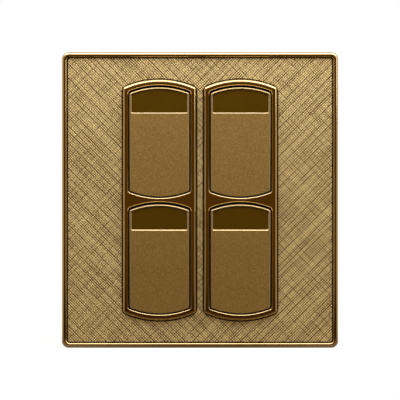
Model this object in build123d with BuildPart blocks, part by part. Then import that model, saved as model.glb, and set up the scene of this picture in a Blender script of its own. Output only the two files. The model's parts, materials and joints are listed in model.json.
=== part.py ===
from build123d import *
import os
from math import cos, radians, sin, sqrt, tan

# Four-gang light switch, in millimetres. The wall is the plane y = 0, the room lies towards -Y, +Z is up.
# Heights are measured from the wall towards the room, depths from the wall into the wall box.

# Plate seen from the front
plate_width = 86.0
plate_height = 92.0
plate_corner = 2.2
plate_wall = 1.8
rim_width = 1.55
rim_corner = 1.0
ledge_width = 0.1
recess_corner = 0.8
panel_gap = 0.25
panel_corner = 0.6
panel_bevel = 0.15
hollow_width = plate_width - 2 * plate_wall
hollow_height = plate_height - 2 * plate_wall
recess_width = plate_width - 2 * (rim_width + ledge_width)
recess_height = plate_height - 2 * (rim_width + ledge_width)

# Stack of thicknesses from the wall to the front
yoke_thickness = 1.2
cradle_thickness = 3.2
flange_thickness = 1.0
web_thickness = 1.8
panel_thickness = 1.0
ledge_rise = 0.2
rim_rise = 0.6
bezel_rise = 0.4
cradle_front = yoke_thickness + cradle_thickness
web_back = cradle_front + flange_thickness
web_front = web_back + web_thickness
panel_front = web_front + panel_thickness
ledge_front = panel_front + ledge_rise
rim_front = ledge_front + rim_rise
rim_outer_round = min(0.95, 0.62 * rim_width)
rim_inner_round = min(0.35 * rim_width, 0.9 * rim_rise)
bezel_front = rim_front + bezel_rise

# Two columns of two gangs, each column in one arched bezel
column_pitch = 25.2
bezel_width = 22.8
bezel_margin = 8.5
bezel_arch = 27.0
bezel_corner = 1.0
opening_corner = 0.8
side_band = 1.75
end_band = 1.85
waist = 1.3
bezel_gap = 0.3
web_gap = 0.1
flange_width = 0.8
bezel_outer_round = min(0.9, 0.9 * bezel_corner)
bezel_inner_round = min(0.4, 0.31 * waist)
bezel_height = plate_height - 2 * bezel_margin
gang_pitch = (bezel_height - 2 * end_band + waist) / 2
opening_width = bezel_width - 2 * side_band
opening_height = gang_pitch - waist
opening_arch = bezel_arch - end_band
column_x = column_pitch / 2
gang_z = gang_pitch / 2
gangs = {
    "upper_left": (-1, 1),
    "upper_right": (1, 1),
    "lower_left": (-1, -1),
    "lower_right": (1, -1),
}

# Pivot of a rocker: trunnions of the carrier in the ears of the cradle
trunnion_radius = 1.5
bearing_clearance = 0.05
ear_wall = 0.65
ear_thickness = 1.8
ear_gap = 0.2
ear_headroom = 0.4
trunnion_shy = 0.2
carrier_width = 10.4
carrier_length = 16.0
carrier_skin = 0.4
carrier_floor = 0.1
carrier_pocket = 4.0
carrier_pocket_rim = 1.0
carrier_pocket_depth = 1.4
bearing_radius = trunnion_radius + bearing_clearance
ear_radius = bearing_radius + ear_wall
ear_inner = carrier_width / 2 + ear_gap
pivot_height = cradle_front + bearing_radius + bearing_clearance
trunnion_reach = ear_inner + ear_thickness - trunnion_shy
carrier_front = trunnion_radius + carrier_skin
carrier_back = trunnion_radius + carrier_floor

# Rocker, as distances from the pivot
rocker_tilt = 3.5
rocker_side_gap = 0.4
rocker_clearance = 0.23
rocker_corner = 0.6
rocker_wall = 1.3
rocker_skin = 1.8
stop_clearance = 0.15
seat_rib = 1.2
clip_gap = 0.15
clip_thickness = 1.2
clip_width = 6.0
clip_catch = 0.7
clip_hook = 0.9
clip_play = 0.05
rocker_round = min(0.3, 0.5 * rocker_corner)
rocker_ceiling = ear_radius + ear_headroom
rocker_face = rocker_ceiling + rocker_skin
rocker_end_gap = rocker_face * sin(radians(rocker_tilt)) + rocker_clearance
rocker_width = opening_width - 2 * rocker_side_gap
rocker_height = opening_height - 2 * rocker_end_gap
rocker_arch = opening_arch - rocker_end_gap
rocker_swing = rocker_height / 2 * sin(radians(rocker_tilt))
rocker_skirt = (cradle_front + stop_clearance - pivot_height + rocker_swing) / cos(radians(rocker_tilt))
clip_inner = carrier_length / 2 + clip_gap
clip_end = carrier_back + clip_play + clip_hook

# Window insert at the top of a rocker
window_margin = 0.65
window_drop = 7.8
window_corner = 0.4
window_pocket = 0.9
window_thickness = 0.6
window_fit = 0.05
window_bevel = min(0.25, 0.38 * window_margin)

# Snap action: a sprung plunger in the carrier's tube, as distances from the pivot
plunger_radius = 1.55
plunger_length = 3.8
plunger_reach = 1.0
plunger_clearance = 0.1
tube_wall = 0.95
gusset_thickness = 1.2
gusset_length = 3.4
gusset_inset = 1.0
bore_end = 1.2
spring_length = 4.0
spring_turns = 4
spring_clearance = 0.2
spring_seat = 0.02
wire_radius = 0.2
spigot_clearance = 0.15
spigot_length = 1.2
bore_radius = plunger_radius + plunger_clearance
tube_radius = bore_radius + tube_wall
gusset_reach = carrier_length / 2 - gusset_inset
plunger_back = bore_end + spring_length
plunger_tip = plunger_back + plunger_length
tube_end = plunger_tip - plunger_reach
coil_radius = plunger_radius - spring_clearance - wire_radius
coil_start = bore_end + spring_seat + wire_radius
coil_height = spring_length - 2 * (spring_seat + wire_radius)
spigot_radius = coil_radius - wire_radius - spigot_clearance

# Tilting contact on a knife edge
contact_tilt = 10.0
contact_clearance = 0.05
contact_thickness = 1.0
contact_width = 4.0
contact_length = 17.0
knife_radius = 0.4
groove_clearance = 0.05
groove_depth = 0.25
rivet_spacing = 14.4
rivet_radius = 1.3
rivet_height = 0.7
fixed_rivet_height = 0.5
closed_clearance = 0.05
groove_radius = knife_radius + groove_clearance
contact_under = groove_radius - groove_depth
contact_face = contact_under + contact_thickness
contact_axis = plunger_tip + contact_clearance + contact_face - pivot_height

# Rear housing, deep enough for the contacts and the terminals
housing_side = 10.4
housing_end = 13.85
housing_wall = 1.5
housing_floor = 2.0
housing_corner = 2.0
housing_edge = 0.8
partition = 1.6
pillar_wall = 0.9
terminal_drop = 4.75
terminal_height = 7.0
terminal_front = contact_axis + terminal_drop
floor_depth = terminal_front + terminal_height
housing_depth = floor_depth + housing_floor
housing_width = column_pitch + 2 * housing_side
housing_height = gang_pitch + 2 * housing_end

# Terminals and their bays, measured sideways from the middle of a column
terminal_pitch = 7.5
terminal_width = 5.4
terminal_length = 4.9
terminal_clearance = 0.1
tunnel_width = 3.8
tunnel_height = 3.5
tunnel_roof = 1.0
strip_thickness = 0.8
strip_lap = 1.5
tab_width = 4.4
leg_width = 2.8
horn_gap = 0.15
horn_width = 0.6
horn_height = 1.0
neck_drop = 1.6
bay_wall = 1.2
bay_drop = 0.6
terminal_outer = housing_side - housing_wall - terminal_clearance
terminal_inner = terminal_outer - terminal_length
terminal_middle = terminal_inner + terminal_length / 2
bay_inner = column_x + terminal_inner - terminal_clearance
bay_outer = housing_width / 2 - housing_wall
bay_rib = terminal_pitch - terminal_width - 2 * terminal_clearance
tunnel_front = terminal_front + tunnel_roof
tunnel_back = tunnel_front + tunnel_height
horn_inner = contact_width / 2 + horn_gap
horn_outer = horn_inner + horn_width
tab_front = rivet_height - contact_under + closed_clearance + fixed_rivet_height
tab_length = contact_width / 2 + terminal_inner + strip_thickness
leg_low = -terminal_pitch - leg_width / 2
leg_high = -terminal_pitch + leg_width / 2

# Screws
clamp_radius = 1.45
clamp_head_radius = 2.2
clamp_head_height = 1.5
clamp_bite = 0.9
screw_radius = 1.45
screw_head_radius = 2.3
screw_head_height = 1.6
screw_seat = 4.0
screw_cover = 0.8
screw_clearance = 0.05
screw_head_clearance = 0.2
screw_tip_clearance = 0.2
screw_inner = 10.0
screw_inset = 2.5
driver_slot = 0.8
driver_depth = 0.7
screw_grip = cradle_front - screw_cover
screw_outer = housing_height / 2 - housing_wall - screw_inset
counterbore_radius = screw_head_radius + screw_head_clearance
screw_points = [(0, z) for z in (-screw_outer, -screw_inner, screw_inner, screw_outer)]
clamp_points = [
    (side * (column_x + terminal_middle), level * gang_z + row * terminal_pitch)
    for side, level in gangs.values()
    for row in (-1, 0, 1)
]

# Cradle and yoke
cradle_margin = 0.2
cradle_corner = 2.0
well_gap = 1.65
lip_gap = 0.3
lip_height = 1.8
yoke_width = 70.0
yoke_corner = 3.0
yoke_window_width = 13.0
yoke_window_end = 11.85
yoke_hole_clearance = 0.25
fixing_slot_radius = 1.9
fixing_slot_length = 6.5
fixing_margin = 1.6
bend_radius = 1.0
fixing_pitch = yoke_width - fixing_slot_length - 2 * fixing_margin
cradle_width = column_pitch + bezel_width + 2 * (flange_width + cradle_margin)
cradle_height = bezel_height + 2 * (flange_width + cradle_margin)
well_length = carrier_length + 2 * (clip_gap + clip_thickness + well_gap)
yoke_height = cradle_height + 2 * (lip_gap + yoke_thickness)

# Snap ears of the yoke, snap legs and braces of the cover
ear_span = 74.4
ear_width = 9.0
ear_crown = 1.0
catch_sill = 0.6
catch_height = 1.8
catch_width = 5.2
snap_spacing = 50.0
snap_gap = 0.3
snap_thickness = 1.5
snap_side_gap = 0.4
snap_foot = 0.4
snap_play = 0.05
snap_land = 0.6
snap_bite = 0.8
pry_width = 9.0
pry_height = 1.4
brace_thickness = 1.2
brace_length = 3.0
brace_height = 3.0
brace_spacing_x = 44.0
brace_spacing_z = 30.0
catch_bottom = yoke_thickness + catch_sill
catch_top = catch_bottom + catch_height
ear_height = catch_top + ear_crown
ear_face = ear_span / 2 - yoke_thickness
snap_outer = ear_face - snap_gap
snap_inner = snap_outer - snap_thickness
snap_crest = ear_face + snap_bite
snap_tip = yoke_thickness + snap_foot
snap_shelf = catch_top - snap_play


def at_height(height):
    """Plane parallel to the wall, with x to the right, y up and its normal towards the room."""
    return Plane.XZ.offset(height)


def at_depth(depth):
    """The same plane behind the wall."""
    return at_height(-depth)


def arched_outline(width, height, arch, corner):
    """Upright outline with straight sides, a bowed top and bottom and rounded corners."""
    half = width / 2
    shoulder = height / 2 - arch + sqrt(arch**2 - half**2)
    with BuildSketch() as outline:
        with BuildLine():
            top = ThreePointArc((-half, shoulder), (0, height / 2), (half, shoulder))
            bottom = ThreePointArc((half, -shoulder), (0, -height / 2), (-half, -shoulder))
            Line(top @ 1, bottom @ 0)
            Line(bottom @ 1, top @ 0)
        make_face()
        fillet(outline.vertices(), corner)
    return outline.sketch


def bezel_outline(grow):
    """Outer outline of a bezel, larger all round by the given amount."""
    width = bezel_width + 2 * grow
    height = bezel_height + 2 * grow
    return arched_outline(width, height, bezel_arch + grow, bezel_corner + grow)


def rocker_outline(shrink):
    """Outline of a rocker, smaller all round by the given amount."""
    width = rocker_width - 2 * shrink
    height = rocker_height - 2 * shrink
    return arched_outline(width, height, rocker_arch - shrink, rocker_corner)


def window_outline(shrink):
    """Arched field near the top of a rocker, smaller all round by the given amount."""
    sill = rocker_height / 2 - window_drop + shrink
    with BuildSketch() as outline:
        add(rocker_outline(window_margin + shrink))
        with Locations((0, sill)):
            Rectangle(rocker_width, rocker_height, align=(Align.CENTER, Align.MIN), mode=Mode.INTERSECT)
        fillet(outline.vertices().group_by(Axis.Y)[0], window_corner)
    return outline.sketch


def terminal_block(row):
    """Clamp block with a wire tunnel along x and a screw hole from behind, in the given row of a gang."""
    with BuildPart() as block:
        with BuildSketch(Plane.YZ.offset(terminal_inner)):
            with Locations((terminal_front, row * terminal_pitch)):
                Rectangle(terminal_height, terminal_width, align=(Align.MIN, Align.CENTER))
            with Locations((tunnel_front, row * terminal_pitch)):
                Rectangle(tunnel_height, tunnel_width, align=(Align.MIN, Align.CENTER), mode=Mode.SUBTRACT)
        extrude(amount=terminal_length)
        with BuildSketch(at_depth(floor_depth)):
            with Locations((terminal_middle, row * terminal_pitch)):
                Circle(clamp_radius + screw_clearance)
        extrude(amount=floor_depth - tunnel_back, mode=Mode.SUBTRACT)
    return block.part


def tab_depth(z):
    """Depth of the middle of a line terminal's slanted tab at height z of a gang."""
    middle = tab_front + strip_thickness / 2
    return contact_axis + middle / cos(radians(contact_tilt)) - z * tan(radians(contact_tilt))


def front_face(piece):
    """Flat face of a piece that stands furthest into the room."""
    return piece.faces().filter_by(Axis.Y).sort_by(Axis.Y)[0]


# Plane through the knife edge, parallel to the contact when its lower end is closed
closed_plane = Plane(
    origin=(0, contact_axis, 0),
    x_dir=(1, 0, 0),
    z_dir=(0, -cos(radians(contact_tilt)), -sin(radians(contact_tilt))),
)

# Cover frame: rim and ledge around a web, hollow behind, with four snap legs
with BuildPart() as cover_frame:
    with BuildSketch(at_height(0)):
        RectangleRounded(plate_width, plate_height, plate_corner)
    extrude(amount=rim_front)
    with BuildSketch(at_height(ledge_front)):
        RectangleRounded(plate_width - 2 * rim_width, plate_height - 2 * rim_width, rim_corner)
    extrude(amount=rim_rise, mode=Mode.SUBTRACT)
    fillet(front_face(cover_frame).outer_wire().edges(), rim_outer_round)
    fillet(front_face(cover_frame).inner_wires()[0].edges(), rim_inner_round)
    with BuildSketch(at_height(web_front)):
        RectangleRounded(recess_width, recess_height, recess_corner)
    extrude(amount=ledge_front - web_front, mode=Mode.SUBTRACT)
    with BuildSketch(at_height(0)):
        Rectangle(hollow_width, hollow_height)
    extrude(amount=web_back, mode=Mode.SUBTRACT)
    # Braces between the web and the side walls
    with BuildSketch(at_height(web_back)):
        with GridLocations(hollow_width - brace_length, brace_spacing_z, 2, 2):
            Rectangle(brace_length, brace_thickness)
        with GridLocations(brace_spacing_x, hollow_height - brace_length, 2, 2):
            Rectangle(brace_thickness, brace_length)
    extrude(amount=-brace_height)
    # Arched cut-outs for the bezels
    with BuildSketch(at_height(web_back)):
        with GridLocations(column_pitch, 0, 2, 1):
            add(bezel_outline(web_gap))
    extrude(amount=web_thickness, mode=Mode.SUBTRACT)
    # Snap legs with outward hooks
    with BuildSketch(Plane.XY.offset(snap_spacing / 2)):
        with BuildLine():
            Polyline(
                (snap_inner, -web_back),
                (snap_inner, -snap_tip),
                (snap_outer, -snap_tip),
                (snap_crest, -snap_shelf + snap_land),
                (snap_crest, -snap_shelf),
                (snap_outer, -snap_shelf),
                (snap_outer, -web_back),
                close=True,
            )
        make_face()
        mirror(about=Plane.YZ)
    legs = extrude(amount=catch_width / 2 - snap_side_gap, both=True)
    mirror(legs, about=Plane.XY)
    # Notch in the lower edge for prising the cover off
    with BuildSketch(at_height(0)):
        with Locations((0, -plate_height / 2)):
            Rectangle(pry_width, 2 * plate_wall)
    extrude(amount=pry_height, mode=Mode.SUBTRACT)

# Face panel: thin sheet with two arched cut-outs
with BuildPart() as face_panel:
    with BuildSketch(at_height(web_front)):
        RectangleRounded(recess_width - 2 * panel_gap, recess_height - 2 * panel_gap, panel_corner)
        with GridLocations(column_pitch, 0, 2, 1):
            add(bezel_outline(bezel_gap), mode=Mode.SUBTRACT)
    extrude(amount=panel_thickness)
    chamfer(front_face(face_panel).edges(), panel_bevel)

# Bezel: arched ring with two openings and a flange behind the web
with BuildPart() as bezel:
    with BuildSketch(at_height(cradle_front)):
        add(bezel_outline(0))
    extrude(amount=bezel_front - cradle_front)
    fillet(front_face(bezel).outer_wire().edges(), bezel_outer_round)
    with BuildSketch(at_height(cradle_front)):
        add(bezel_outline(flange_width))
    extrude(amount=flange_thickness)
    with BuildSketch(at_height(cradle_front)):
        with GridLocations(0, gang_pitch, 1, 2):
            add(arched_outline(opening_width, opening_height, opening_arch, opening_corner))
    extrude(amount=bezel_front - cradle_front, mode=Mode.SUBTRACT)
    openings = front_face(bezel).inner_wires()
    fillet(openings[0].edges() + openings[1].edges(), bezel_inner_round)

# Mounting yoke: pressed steel plate with lips, snap ears and two fixing slots
with BuildPart() as mounting_yoke:
    with BuildSketch(at_height(0)):
        RectangleRounded(yoke_width, yoke_height, yoke_corner)
        with GridLocations(0, snap_spacing, 1, 2):
            Rectangle(ear_span, ear_width)
    extrude(amount=yoke_thickness)
    with BuildSketch(at_height(0)):
        with GridLocations(0, yoke_height - yoke_thickness, 1, 2):
            Rectangle(yoke_width - 2 * yoke_corner, yoke_thickness)
    extrude(amount=yoke_thickness + lip_height)
    with BuildSketch(at_height(0)):
        with GridLocations(ear_span - yoke_thickness, snap_spacing, 2, 2):
            Rectangle(yoke_thickness, ear_width)
    extrude(amount=ear_height)
    wall_edges = mounting_yoke.edges().filter_by(Axis.Z).group_by(Axis.Y)[-1]
    fillet(wall_edges.filter_by(lambda edge: abs(edge.center().X) > ear_face), bend_radius)
    # Catch windows in the ears
    with BuildSketch(Plane.YZ):
        with Locations((-catch_bottom, snap_spacing / 2), (-catch_bottom, -snap_spacing / 2)):
            Rectangle(catch_top - catch_bottom, catch_width, align=(Align.MAX, Align.CENTER))
    extrude(amount=ear_span, both=True, mode=Mode.SUBTRACT)
    # Column windows, screw holes and fixing slots
    with BuildSketch(at_height(0)):
        with GridLocations(column_pitch, 0, 2, 1):
            RectangleRounded(yoke_window_width, gang_pitch + 2 * yoke_window_end, yoke_corner)
        with Locations(*screw_points):
            Circle(screw_radius + yoke_hole_clearance)
        with GridLocations(fixing_pitch, 0, 2, 1):
            SlotOverall(fixing_slot_length, 2 * fixing_slot_radius)
    extrude(amount=yoke_thickness, mode=Mode.SUBTRACT)

# Rocker cradle: plate with a well and two bearing ears for each gang
with BuildPart() as rocker_cradle:
    with BuildSketch(at_height(yoke_thickness)):
        RectangleRounded(cradle_width, cradle_height, cradle_corner)
        with GridLocations(column_pitch, gang_pitch, 2, 2):
            Rectangle(2 * ear_inner, well_length, mode=Mode.SUBTRACT)
    extrude(amount=cradle_thickness)
    for column in (-column_x, column_x):
        for ear_x in (column - ear_inner - ear_thickness, column + ear_inner):
            with BuildSketch(Plane.YZ.offset(ear_x)):
                with Locations((-pivot_height, gang_z), (-pivot_height, -gang_z)):
                    Circle(ear_radius)
                    Rectangle(pivot_height - yoke_thickness, 2 * ear_radius, align=(Align.MIN, Align.CENTER))
                    Circle(bearing_radius, mode=Mode.SUBTRACT)
            extrude(amount=ear_thickness)
    # Blind holes for the housing screws
    with BuildSketch(at_height(yoke_thickness)):
        with Locations(*screw_points):
            Circle(screw_radius + screw_clearance)
    extrude(amount=screw_grip + screw_tip_clearance - yoke_thickness, mode=Mode.SUBTRACT)

# Rear housing: open-fronted box with partitions, screw pillars and terminal bays
with BuildPart() as rear_housing:
    with BuildSketch(at_depth(housing_depth)):
        RectangleRounded(housing_width, housing_height, housing_corner)
    extrude(amount=housing_depth)
    fillet(rear_housing.faces().sort_by(Axis.Y)[-1].edges(), housing_edge)
    with BuildSketch(at_depth(floor_depth)):
        Rectangle(housing_width - 2 * housing_wall, housing_height - 2 * housing_wall)
    extrude(amount=floor_depth, mode=Mode.SUBTRACT)
    with BuildSketch(at_depth(floor_depth)):
        Rectangle(partition, housing_height - 2 * housing_wall)
        Rectangle(housing_width - 2 * housing_wall, partition)
        with Locations(*screw_points):
            Circle(counterbore_radius + pillar_wall)
    extrude(amount=floor_depth)
    # Walls of the terminal bays
    with BuildSketch(at_depth(floor_depth)):
        with Locations((bay_inner, gang_z), (bay_inner, -gang_z)):
            Rectangle(bay_wall, 3 * terminal_pitch + bay_rib, align=(Align.MAX, Align.CENTER))
            with GridLocations(0, terminal_pitch, 1, 4):
                Rectangle(bay_outer - bay_inner, bay_rib, align=(Align.MIN, Align.CENTER))
        mirror(about=Plane.YZ)
    extrude(amount=terminal_height - bay_drop)
    # Wire entries in the side walls
    for wall_x in (-housing_width / 2, housing_width / 2 - housing_wall):
        with BuildSketch(Plane.YZ.offset(wall_x)):
            with Locations((tunnel_front, gang_z), (tunnel_front, -gang_z)):
                with GridLocations(0, terminal_pitch, 1, 3):
                    Rectangle(tunnel_height, tunnel_width, align=(Align.MIN, Align.CENTER))
        extrude(amount=housing_wall, mode=Mode.SUBTRACT)
    # Screwdriver holes over the terminals and counterbores of the housing screws
    with BuildSketch(at_depth(housing_depth)):
        with Locations(*clamp_points):
            Circle(clamp_head_radius + screw_head_clearance)
    extrude(amount=housing_floor, mode=Mode.SUBTRACT)
    with BuildSketch(at_depth(housing_depth)):
        with Locations(*screw_points):
            Circle(counterbore_radius)
    extrude(amount=housing_depth - screw_seat, mode=Mode.SUBTRACT)
    with BuildSketch(at_depth(screw_seat)):
        with Locations(*screw_points):
            Circle(screw_radius + screw_clearance)
    extrude(amount=screw_seat, mode=Mode.SUBTRACT)

# Housing screws: heads deep in the housing, tips in the cradle
with BuildPart() as housing_screws:
    with BuildSketch(at_depth(screw_seat + screw_head_height)):
        with Locations(*screw_points):
            Circle(screw_head_radius)
    extrude(amount=screw_head_height)
    with BuildSketch(at_depth(screw_seat)):
        with Locations(*screw_points):
            Circle(screw_radius)
    extrude(amount=screw_seat + screw_grip)
    with BuildSketch(at_depth(screw_seat + screw_head_height)):
        with Locations(*screw_points):
            Rectangle(2 * screw_head_radius, driver_slot)
    extrude(amount=driver_depth, mode=Mode.SUBTRACT)

# Terminal screws: slotted clamp screws, tips in the wire tunnels
with BuildPart() as terminal_screws:
    with BuildSketch(at_depth(floor_depth + clamp_head_height)):
        with Locations(*clamp_points):
            Circle(clamp_head_radius)
    extrude(amount=clamp_head_height)
    with BuildSketch(at_depth(floor_depth)):
        with Locations(*clamp_points):
            Circle(clamp_radius)
    extrude(amount=floor_depth - tunnel_back + clamp_bite)
    with BuildSketch(at_depth(floor_depth + clamp_head_height)):
        with Locations(*clamp_points):
            Rectangle(driver_slot, 2 * clamp_head_radius)
    extrude(amount=driver_depth, mode=Mode.SUBTRACT)

# Rocker: arched cap with a window pocket, seat ribs and two clips, in the pivot's frame
with BuildPart() as rocker:
    with BuildSketch(at_height(rocker_skirt)):
        add(rocker_outline(0))
    extrude(amount=rocker_face - rocker_skirt)
    fillet(front_face(rocker).edges(), rocker_round)
    with BuildSketch(at_height(rocker_skirt)):
        add(rocker_outline(rocker_wall))
    extrude(amount=rocker_ceiling - rocker_skirt, mode=Mode.SUBTRACT)
    with BuildSketch(at_height(rocker_face)):
        add(window_outline(0))
    extrude(amount=-window_pocket, mode=Mode.SUBTRACT)
    chamfer(front_face(rocker).inner_wires()[0].edges(), window_bevel)
    with BuildSketch(at_height(carrier_front)):
        with GridLocations(carrier_width - 2 * seat_rib, 0, 2, 1):
            Rectangle(seat_rib, carrier_length)
    extrude(amount=rocker_ceiling - carrier_front)
    with BuildSketch(Plane.YZ):
        with BuildLine():
            Polyline(
                (-rocker_ceiling, clip_inner),
                (carrier_back + clip_play, clip_inner),
                (carrier_back + clip_play, clip_inner - clip_catch),
                (clip_end, clip_inner),
                (clip_end, clip_inner + clip_thickness),
                (-rocker_ceiling, clip_inner + clip_thickness),
                close=True,
            )
        make_face()
        mirror(about=Plane.XZ)
    extrude(amount=clip_width / 2, both=True)

# Window insert: thin glossy plate in the rocker's pocket
with BuildPart() as window:
    with BuildSketch(at_height(rocker_face - window_pocket)):
        add(window_outline(window_fit))
    extrude(amount=window_thickness)

# Carrier: pivoting beam with trunnions and a tube for the plunger
with BuildPart() as carrier:
    with BuildSketch(at_height(-carrier_back)):
        Rectangle(carrier_width, carrier_length)
    extrude(amount=carrier_back + carrier_front)
    with BuildSketch(at_height(carrier_front)):
        with GridLocations(0, carrier_length - carrier_pocket - 2 * carrier_pocket_rim, 1, 2):
            Rectangle(carrier_pocket, carrier_pocket)
    extrude(amount=-carrier_pocket_depth, mode=Mode.SUBTRACT)
    with BuildSketch(at_depth(tube_end)):
        Circle(tube_radius)
    extrude(amount=tube_end)
    with BuildSketch(Plane.YZ):
        with BuildLine():
            Polyline(
                (carrier_back, gusset_reach),
                (carrier_back, -gusset_reach),
                (carrier_back + gusset_length, -tube_radius),
                (carrier_back + gusset_length, tube_radius),
                close=True,
            )
        make_face()
    extrude(amount=gusset_thickness / 2, both=True)
    with BuildSketch(Plane.YZ):
        Circle(trunnion_radius)
    extrude(amount=trunnion_reach, both=True)
    with BuildSketch(at_depth(tube_end)):
        Circle(bore_radius)
    extrude(amount=tube_end - bore_end, mode=Mode.SUBTRACT)

# Plunger: round-nosed pin with a spigot inside the spring
with BuildPart() as plunger:
    with BuildSketch():
        with BuildLine():
            Polyline(
                (0, plunger_tip),
                (0, plunger_back - spigot_length),
                (spigot_radius, plunger_back - spigot_length),
                (spigot_radius, plunger_back),
                (plunger_radius, plunger_back),
                (plunger_radius, plunger_tip - plunger_radius),
            )
            RadiusArc((plunger_radius, plunger_tip - plunger_radius), (0, plunger_tip), -plunger_radius)
        make_face()
    revolve(axis=Axis.Y)

# Spring: open coil between the end of the bore and the shoulder of the plunger
with BuildPart() as spring:
    with BuildLine() as coil:
        Helix(
            coil_height / spring_turns,
            coil_height,
            coil_radius,
            center=(0, coil_start, 0),
            direction=(0, 1, 0),
        )
    with BuildSketch(Plane(origin=coil.line @ 0, z_dir=coil.line % 0)):
        Circle(wire_radius)
    sweep(path=coil.line, is_frenet=True)

# Tilting contact with two rivets, its frame on the knife edge
with BuildPart() as contact:
    with BuildSketch(Plane.YZ):
        with Locations((-contact_under, 0)):
            Rectangle(contact_thickness, contact_length, align=(Align.MAX, Align.CENTER))
        Circle(groove_radius, mode=Mode.SUBTRACT)
    extrude(amount=contact_width / 2, both=True)
    with BuildSketch(at_height(contact_under)):
        with GridLocations(0, rivet_spacing, 1, 2):
            Circle(rivet_radius)
    extrude(amount=-rivet_height)

# Common terminal: clamp block with the knife edge that carries the contact
with BuildPart() as common_terminal:
    add(terminal_block(0))
    with BuildSketch():
        with BuildLine():
            Polyline(
                (-horn_outer, contact_axis - horn_height),
                (-horn_inner, contact_axis - horn_height),
                (-horn_inner, contact_axis),
                (horn_inner, contact_axis),
                (horn_inner, contact_axis - horn_height),
                (horn_outer, contact_axis - horn_height),
                (horn_outer, contact_axis + neck_drop),
                (terminal_inner + strip_lap, contact_axis + neck_drop),
                (terminal_inner + strip_lap, terminal_front),
                (-horn_outer, terminal_front),
                close=True,
            )
        make_face()
    extrude(amount=knife_radius, both=True)
    with BuildSketch(Plane.YZ):
        with Locations((contact_axis, 0)):
            Circle(knife_radius)
    extrude(amount=horn_inner, both=True)

# Line terminal: clamp block with a slanted tab and its contact rivet, below the common one
with BuildPart() as line_terminal:
    add(terminal_block(-1))
    with BuildSketch(closed_plane.offset(-tab_front)):
        with Locations((-contact_width / 2, -rivet_spacing / 2)):
            Rectangle(tab_length, tab_width, align=(Align.MIN, Align.CENTER))
    extrude(amount=-strip_thickness)
    with BuildSketch(closed_plane.offset(-tab_front)):
        with Locations((0, -rivet_spacing / 2)):
            Circle(rivet_radius)
    extrude(amount=fixed_rivet_height)
    with BuildSketch(Plane.YZ.offset(terminal_inner)):
        with BuildLine():
            Polyline(
                (terminal_front, leg_low),
                (terminal_front, leg_high),
                (tab_depth(leg_high), leg_high),
                (tab_depth(leg_low), leg_low),
                close=True,
            )
        make_face()
    extrude(amount=strip_thickness)

# Pieces that stand alone
bezel_place = Location((column_x, 0, 0))
pieces = {
    "cover_frame": cover_frame.part,
    "face_panel": face_panel.part,
    "bezel_left": bezel.part.moved(bezel_place.inverse()),
    "bezel_right": bezel.part.moved(bezel_place),
    "mounting_yoke": mounting_yoke.part,
    "rocker_cradle": rocker_cradle.part,
    "rear_housing": rear_housing.part,
    "housing_screws": housing_screws.part,
    "terminal_screws": terminal_screws.part,
}

# Pieces of each gang: the rocker rests with its bottom pressed in, the wire side of the terminals faces outwards
line_one_terminal = mirror(line_terminal.part, about=Plane.XY)
for gang, (side, level) in gangs.items():
    rocker_place = Location((side * column_x, -pivot_height, level * gang_z), (rocker_tilt, 0, 0))
    contact_place = Location((side * column_x, contact_axis, level * gang_z), (-contact_tilt, 0, 0))
    terminal_place = Location((side * column_x, 0, level * gang_z))
    pieces[f"rocker_{gang}"] = rocker.part.moved(rocker_place)
    pieces[f"window_{gang}"] = window.part.moved(rocker_place)
    pieces[f"carrier_{gang}"] = carrier.part.moved(rocker_place)
    pieces[f"plunger_{gang}"] = plunger.part.moved(rocker_place)
    pieces[f"spring_{gang}"] = spring.part.moved(rocker_place)
    pieces[f"contact_{gang}"] = contact.part.moved(contact_place)
    terminals = {
        "common_terminal": common_terminal.part,
        "line_one_terminal": line_one_terminal,
        "line_two_terminal": line_terminal.part,
    }
    for name, terminal in terminals.items():
        turned = terminal if side > 0 else mirror(terminal, about=Plane.YZ)
        pieces[f"{name}_{gang}"] = turned.moved(terminal_place)

os.makedirs("parts", exist_ok=True)
for name, piece in pieces.items():
    piece.label = name
    export_step(piece, f"parts/{name}.step")
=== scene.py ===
"""Four-gang light switch: finishes, hatched sheet, springs, screws and a studio around the CAD frame."""
import json
import math
import random

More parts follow.
